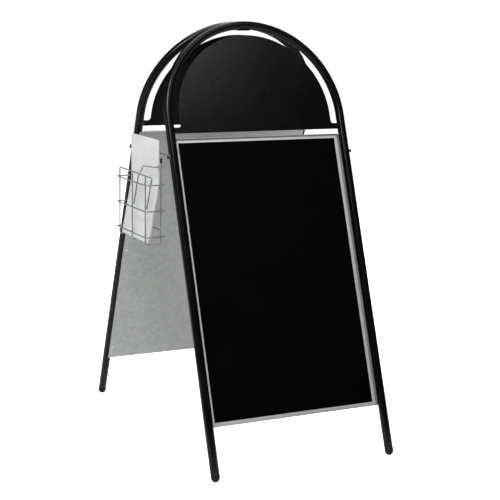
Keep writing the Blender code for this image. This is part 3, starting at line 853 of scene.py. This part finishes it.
def leaflet_line(length, offset):
    """Up the basket's floor, bending to upright at the knee; offset is outwards, from the back."""
    foot = Vector((STACK_LOW.x + STACK_T, 0, STACK_LOW.z))
    knee = Vector((STACK_HIGH.x, 0, KNEE_Z))
    lower = (knee - foot).length
    top = knee + Vector((0, 0, length - lower))
    line = rounded([foot, knee, top], KNEE_R, 10)
    line = [foot.lerp(line[1], step / 8) for step in range(8)] + line[1:-1] + [
        line[-2].lerp(top, step / 6) for step in range(1, 7)]
    placed = []
    for i, point in enumerate(line):
        on = (line[min(i + 1, len(line) - 1)] - line[max(i - 1, 0)]).normalized()
        out = Vector((-on.z, 0, on.x))
        placed.append((point + out * offset, out))
    return placed


def folded_section(width, thick, paper):
    """A leaflet cut across: two leaves joined by a round spine, as (y, t) round its outline."""
    spine = thick / 2
    start = -width / 2 + spine
    outer = [(start - spine * sin(a), spine * cos(a)) for a in (pi * i / 8 for i in range(9))]
    hollow = spine - paper
    inner = [(start - hollow * sin(a), hollow * cos(a)) for a in (pi * i / 8 for i in range(9))]
    end = width / 2
    return ([(end, spine)] + outer + [(end, -spine), (end, -hollow)] + inner[::-1]
            + [(end, hollow)])


def make_leaflets():
    """The stack of folded leaflets, each a little out of line with the next."""
    random.seed("leaflets")
    pitch = STACK_T / LEAFLETS
    for number in range(LEAFLETS):
        thick = pitch * 0.86
        slip = random.uniform(-0.0010, 0.0010)
        width = (STACK_HIGH.y - STACK_LOW.y) - 2 * abs(slip) - random.uniform(0, 0.0006)
        length = 0.2965 - random.uniform(0, 0.0016)
        section = folded_section(width, thick, thick * 0.40)
        bm = bmesh.new()
        rings = []
        for centre, out in leaflet_line(length, pitch * (number + 0.5)):
            centre = centre + Vector((0, slip, 0))
            rings.append(ring(bm, centre, Vector((0, 1, 0)), out, section))
        skin(bm, rings)
        piece(f"leaflet_{number + 1}", bm, "leaflet_paper", "leaflets",
              ["leaflets"] if number == 0 else (), sharp=40)


# ---------------------------------------------------------------- studio

EYE = Vector((MIDDLE - 1.69931, -3.5178, 1.2840))
AZIMUTH, ELEVATION, ROLL = radians(-26.287), radians(-10.791), radians(1.01)
LENS = 95.0


def make_camera():
    """The camera at the photograph's angle, rolled by a degree as the photograph is."""
    ahead = Vector((-sin(AZIMUTH) * cos(ELEVATION), cos(AZIMUTH) * cos(ELEVATION),
                    sin(ELEVATION)))
    level = Vector((cos(AZIMUTH), sin(AZIMUTH), 0))
    above = level.cross(ahead)
    right = level * cos(ROLL) + above * sin(ROLL)
    up = above * cos(ROLL) - level * sin(ROLL)
    camera = bpy.data.objects.new("camera", bpy.data.cameras.new("camera"))
    bpy.context.scene.collection.objects.link(camera)
    camera.matrix_world = Matrix.Translation(EYE) @ Matrix((right, up, -ahead)).transposed().to_4x4()
    camera.data.lens = LENS
    camera.data.sensor_width = 36.0
    bpy.context.scene.camera = camera


def make_light(name, place, target, width, height, power):
    data = bpy.data.lights.new(name, "AREA")
    data.shape = "RECTANGLE"
    data.size, data.size_y, data.energy = width, height, power
    light = bpy.data.objects.new(name, data)
    bpy.context.scene.collection.objects.link(light)
    light.location = place
    light.rotation_euler = (Vector(target) - Vector(place)).to_track_quat("-Z", "Y").to_euler()


def make_world():
    """A white backdrop for the eye, and a dimmer room for what the board reflects."""
    world = bpy.data.worlds.new("studio")
    bpy.context.scene.world = world
    world.use_nodes = True
    tree = world.node_tree
    back = tree.nodes["Background"]
    back.inputs["Color"].default_value = (1, 1, 1, 1)
    seen = tree.nodes.new("ShaderNodeLightPath")
    amount = tree.nodes.new("ShaderNodeMapRange")
    amount.inputs["To Min"].default_value = 0.06
    amount.inputs["To Max"].default_value = 1.05
    tree.links.new(seen.outputs["Is Camera Ray"], amount.inputs["Value"])
    tree.links.new(amount.outputs[0], back.inputs["Strength"])


def make_floor():
    bm = bmesh.new()
    bmesh.ops.create_circle(bm, cap_ends=True, radius=30, segments=64)
    mesh = bpy.data.meshes.new("floor")
    bm.to_mesh(mesh)
    bm.free()
    floor = bpy.data.objects.new("floor", mesh)
    bpy.context.scene.collection.objects.link(floor)
    pale = bpy.data.materials.new("pale_floor")
    pale.use_nodes = True
    shader = pale.node_tree.nodes["Principled BSDF"]
    shader.inputs["Base Color"].default_value = (0.90, 0.90, 0.90, 1)
    shader.inputs["Roughness"].default_value = 0.9
    shader.inputs["Specular IOR Level"].default_value = 0.0
    shader.inputs["Emission Color"].default_value = (1, 1, 1, 1)
    seen = pale.node_tree.nodes.new("ShaderNodeLightPath")
    glow = pale.node_tree.nodes.new("ShaderNodeMapRange")
    glow.inputs["To Min"].default_value = 0.30
    glow.inputs["To Max"].default_value = 1.0
    pale.node_tree.links.new(seen.outputs["Is Camera Ray"], glow.inputs["Value"])
    pale.node_tree.links.new(glow.outputs[0], shader.inputs["Emission Strength"])
    mesh.materials.append(pale)


def make_studio():
    make_camera()
    make_world()
    make_floor()
    centre = (MIDDLE, 0, 0.7)
    make_light("key", (MIDDLE - 1.9, -2.1, 3.3), centre, 1.3, 1.3, 120)
    make_light("top", (MIDDLE, 0.4, 4.2), (MIDDLE, 0, 0.6), 2.4, 2.4, 120)
    make_light("left_strip", (MIDDLE - 3.0, 0.5, 1.4), centre, 0.30, 2.2, 14)
    make_light("back", (MIDDLE + 2.2, 3.2, 3.0), centre, 2.0, 2.0, 110)
    make_light("gloss", (MIDDLE + 0.75, -2.1, 3.05), (MIDDLE - 0.1, 0, 1.1), 0.7, 0.7, 15)
    scene = bpy.context.scene
    scene.view_settings.view_transform = "Standard"
    scene.view_settings.look = "None"


make_studio()
for hoop in SIDES:
    make_hoop(hoop)
make_hinge()
make_holder()
make_leaflets()
